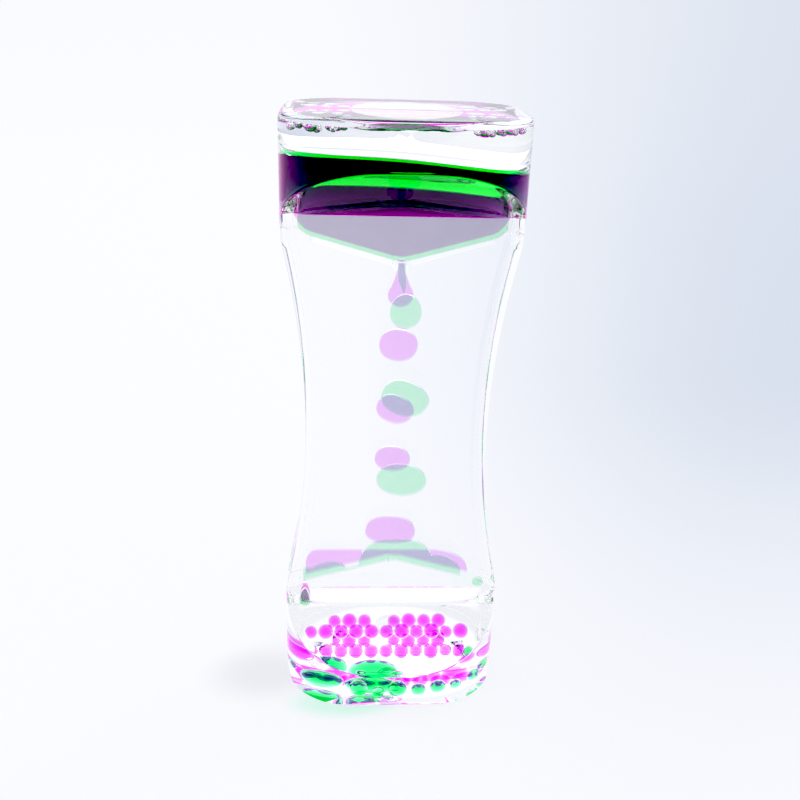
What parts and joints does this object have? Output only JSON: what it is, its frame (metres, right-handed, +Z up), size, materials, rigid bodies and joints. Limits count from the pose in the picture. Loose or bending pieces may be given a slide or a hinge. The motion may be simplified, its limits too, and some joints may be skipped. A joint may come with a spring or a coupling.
{
  "type": "liquid motion timer",
  "caption": "Clear hourglass tank with a front and a rear chamber, where green and pink liquid drips from funnels through clear oil onto the floor.",
  "frame": {"origin": "centre of the base face, on the joint line between the front and the rear half", "axes": "+Z up along the height; front, with the green chamber, towards -Y; +X to the viewer's right"},
  "size_m": [0.054, 0.0406, 0.143],
  "materials": {
    "clear_shell": "polished",
    "clear_plate": "polished",
    "clear_funnel": "polished",
    "clear_plug": "satin",
    "clear_oil": "gloss",
    "green_liquid": "gloss",
    "pink_liquid": "gloss",
    "air": "gloss"
  },
  "bodies": {
    "tank": {"front_shell": "clear_shell", "rear_shell": "clear_shell", "divider_plate": "clear_plate", "front_upper_funnel": "clear_funnel", "front_lower_funnel": "clear_funnel", "rear_upper_funnel": "clear_funnel", "rear_lower_funnel": "clear_funnel", "front_fill_plug": "clear_plug", "rear_fill_plug": "clear_plug", "front_oil": "clear_oil", "rear_oil": "clear_oil", "green_pool": "green_liquid", "pink_pool": "pink_liquid", "green_neck": "green_liquid", "pink_pendant": "pink_liquid", "green_roof_film": "green_liquid", "pink_roof_film": "pink_liquid", "green_globules": "green_liquid", "pink_beads": "pink_liquid", "front_air_bubbles": "air", "rear_air_bubbles": "air"},
    "green_drop_high": {"green_drop_high": "green_liquid"},
    "green_drop_middle": {"green_drop_middle": "green_liquid"},
    "green_drop_low": {"green_drop_low": "green_liquid"},
    "pink_drop_high": {"pink_drop_high": "pink_liquid"},
    "pink_drop_middle": {"pink_drop_middle": "pink_liquid"},
    "pink_drop_low": {"pink_drop_low": "pink_liquid"},
    "pink_drop_landing": {"pink_drop_landing": "pink_liquid"},
    "green_gap_drop": {"green_gap_drop": "green_liquid"},
    "green_edge_drop": {"green_edge_drop": "green_liquid"},
    "pink_gap_drop": {"pink_gap_drop": "pink_liquid"}
  },
  "joints": [
    {"name": "green_drop_high_sink", "type": "slide", "parent": "tank", "child": "green_drop_high", "axis": [0, 0, -1], "range_m": [0, 0.011]},
    {"name": "green_drop_middle_sink", "type": "slide", "parent": "tank", "child": "green_drop_middle", "axis": [0, 0, -1], "range_m": [0, 0.011]},
    {"name": "green_drop_low_sink", "type": "slide", "parent": "tank", "child": "green_drop_low", "axis": [0, 0, -1], "range_m": [0, 0.011]},
    {"name": "pink_drop_high_sink", "type": "slide", "parent": "tank", "child": "pink_drop_high", "axis": [0, 0, -1], "range_m": [0, 0.011]},
    {"name": "pink_drop_middle_sink", "type": "slide", "parent": "tank", "child": "pink_drop_middle", "axis": [0, 0, -1], "range_m": [0, 0.011]},
    {"name": "pink_drop_low_sink", "type": "slide", "parent": "tank", "child": "pink_drop_low", "axis": [0, 0, -1], "range_m": [0, 0.011]},
    {"name": "pink_drop_landing_sink", "type": "slide", "parent": "tank", "child": "pink_drop_landing", "axis": [0, 0, -1], "range_m": [0, 0.0011]},
    {"name": "green_gap_drop_sink", "type": "slide", "parent": "tank", "child": "green_gap_drop", "axis": [0, 0, -1], "range_m": [0, 0.011]},
    {"name": "green_edge_drop_sink", "type": "slide", "parent": "tank", "child": "green_edge_drop", "axis": [0, 0, -1], "range_m": [0, 0.017]},
    {"name": "pink_gap_drop_sink", "type": "slide", "parent": "tank", "child": "pink_gap_drop", "axis": [0, 0, -1], "range_m": [0, 0.011]}
  ],
  "couplings": [
    {"joint": "green_drop_high_sink", "follows": "green_drop_middle_sink", "ratio": 1},
    {"joint": "green_drop_low_sink", "follows": "green_drop_middle_sink", "ratio": 1},
    {"joint": "pink_drop_middle_sink", "follows": "pink_drop_high_sink", "ratio": 1},
    {"joint": "pink_drop_low_sink", "follows": "pink_drop_high_sink", "ratio": 1}
  ]
}
